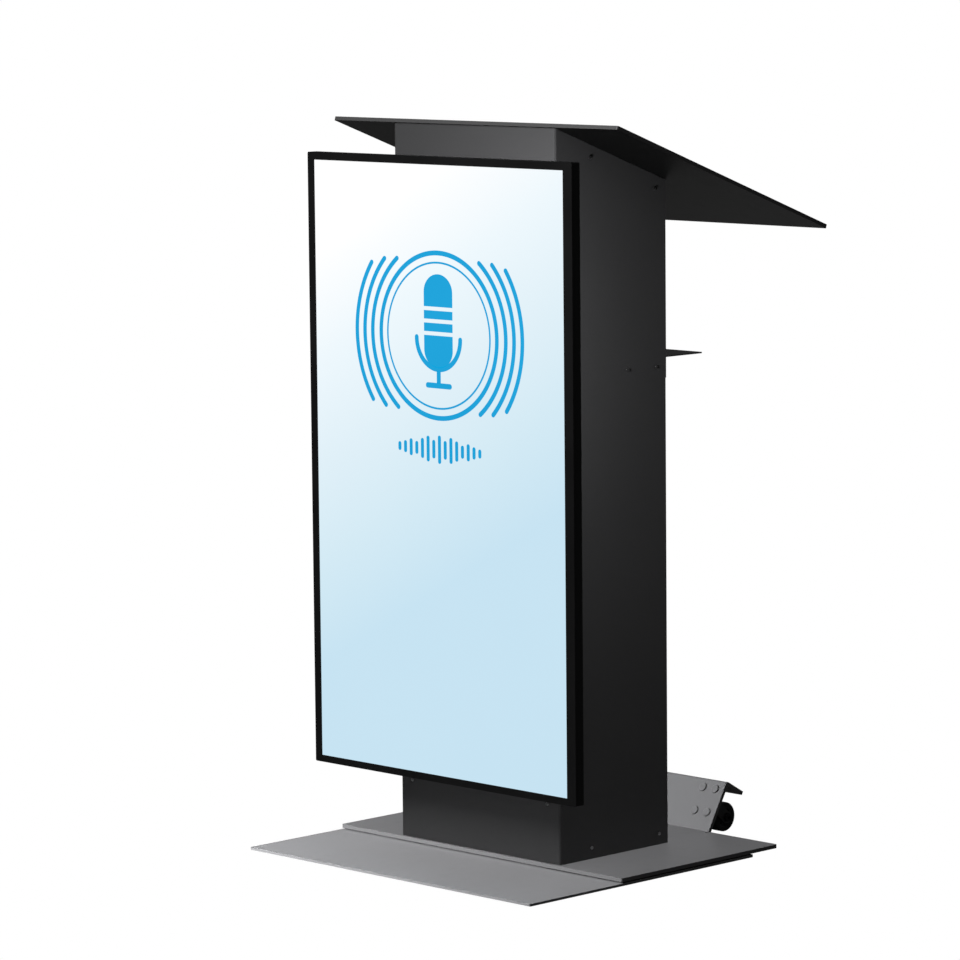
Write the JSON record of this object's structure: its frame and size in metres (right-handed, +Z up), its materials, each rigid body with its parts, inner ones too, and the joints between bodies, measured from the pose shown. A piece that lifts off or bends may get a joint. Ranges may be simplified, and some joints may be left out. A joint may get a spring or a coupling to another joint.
{
  "type": "presentation lectern",
  "caption": "Free-standing steel lectern: sloped desk plate and pull-through shelf on a folded column, portrait display on the audience side, flat base plates with tilt-and-roll wheels.",
  "frame": {"origin": "bottom centre of the bounding box, on the floor under the lectern", "axes": "+Z up, -Y towards the audience (display side), +Y towards the presenter, +X to the right when seen from the audience"},
  "size_m": [0.62, 0.6702, 1.1456],
  "materials": {
    "bezel_plastic": "fine moulded texture, black",
    "bright_screws": "small button-head screws, satin",
    "button_plastic": "satin black",
    "caster_steel": "black powder coat",
    "circuit_board": "green solder mask",
    "column_steel": "fine textured powder coat, graphite",
    "dark_steel": "black oxide",
    "desk_steel": "fine textured powder coat, graphite",
    "door_steel": "fine textured powder coat, graphite",
    "grommet_rubber": "matt",
    "hinge_steel": "powder coat, satin",
    "inlet_brass": "plated",
    "inlet_plastic": "black thermoplastic",
    "light_guide_acrylic": "clear acrylic with printed dots",
    "lock_chrome": "polished",
    "lower_base_steel": "fine textured powder coat, mid grey",
    "pad_rubber": "matt",
    "painted_bolts": "powder coated with the plate",
    "player_case": "black anodised, satin",
    "power_board": "phenolic board",
    "power_box_plastic": "light grey moulded",
    "rail_steel": "black powder coat",
    "rear_cover_plastic": "moulded texture, black",
    "rocker_plastic": "gloss black rocker",
    "screen": "lit display face",
    "shelf_steel": "fine textured powder coat, graphite",
    "tray_aluminium": "pressed sheet",
    "upper_base_steel": "fine textured powder coat, dark grey",
    "wheel_hub": "moulded nylon",
    "wheel_tyre": "solid rubber tread",
    "zinc_steel": "zinc plated"
  },
  "bodies": {
    "stand": {"backlight_tray": "tray_aluminium", "base_angle_bolts": "zinc_steel", "base_plate_bolts": "zinc_steel", "board_standoffs": "inlet_brass", "caster_axles": "dark_steel", "caster_bolts": "painted_bolts", "caster_nuts": "zinc_steel", "column_grommet": "grommet_rubber", "column_hook_plate": "rail_steel", "column_shell": "column_steel", "column_side_screws": "bright_screws", "desk_plate_bolts": "zinc_steel", "desk_top_plate": "desk_steel", "display_bezel": "bezel_plastic", "display_mainboard": "circuit_board", "display_power_board": "power_board", "display_rails": "rail_steel", "display_rear_cover": "rear_cover_plastic", "door_hinge_pins": "zinc_steel", "electronics_cover": "rear_cover_plastic", "floor_pads": "pad_rubber", "frame_hinge_leaves": "hinge_steel", "front_brace_screws": "bright_screws", "front_cross_brace": "zinc_steel", "hook_plate_bolts": "zinc_steel", "inlet_pins": "inlet_brass", "lcd_panel": "screen", "left_base_angle": "zinc_steel", "left_caster_bracket": "caster_steel", "left_desk_bracket": "zinc_steel", "light_guide": "light_guide_acrylic", "lower_base_plate": "lower_base_steel", "media_player": "player_case", "plate_spacers": "zinc_steel", "player_bracket": "zinc_steel", "power_box": "power_box_plastic", "power_box_lid": "power_box_plastic", "power_inlet": "inlet_plastic", "rail_screws": "zinc_steel", "right_base_angle": "zinc_steel", "right_caster_bracket": "caster_steel", "right_desk_bracket": "zinc_steel", "service_panel": "door_steel", "service_panel_screws": "bright_screws", "shelf": "shelf_steel", "shelf_grommet": "grommet_rubber", "upper_base_plate": "upper_base_steel"},
    "left_wheel": {"left_wheel_hub": "wheel_hub", "left_wheel_tyre": "wheel_tyre"},
    "right_wheel": {"right_wheel_hub": "wheel_hub", "right_wheel_tyre": "wheel_tyre"},
    "service_door": {"rear_door": "door_steel", "door_hinge_leaves": "hinge_steel", "lock_housing": "lock_chrome", "lock_nut": "zinc_steel"},
    "door_lock": {"lock_plug": "lock_chrome", "lock_cam": "zinc_steel"},
    "power_rocker": {"inlet_rocker": "rocker_plastic"},
    "power_button": {"display_power_button": "button_plastic"}
  },
  "joints": [
    {"name": "left_wheel_spin", "type": "hinge", "parent": "stand", "child": "left_wheel", "pos_m": [-0.134, 0.27489, 0.02619], "axis": [1, 0, 0], "continuous": true},
    {"name": "right_wheel_spin", "type": "hinge", "parent": "stand", "child": "right_wheel", "pos_m": [0.134, 0.27489, 0.02619], "axis": [1, 0, 0], "continuous": true},
    {"name": "service_door_swing", "type": "hinge", "parent": "stand", "child": "service_door", "pos_m": [-0.15625, 0.1126, 0.44], "axis": [0, 0, 1], "range_deg": [0, 110]},
    {"name": "lock_turn", "type": "hinge", "parent": "service_door", "child": "door_lock", "pos_m": [0.132, 0.1087, 0.43], "axis": [0, -1, 0], "range_deg": [0, 90]},
    {"name": "rocker_tilt", "type": "hinge", "parent": "stand", "child": "power_rocker", "pos_m": [-0.0455, 0.1037, 0.064], "axis": [1, 0, 0], "range_deg": [0, 18]},
    {"name": "power_button_press", "type": "slide", "parent": "stand", "child": "power_button", "axis": [0, 0, 1], "range_m": [0, 0.0008], "stiffness_N_per_m": 400}
  ]
}
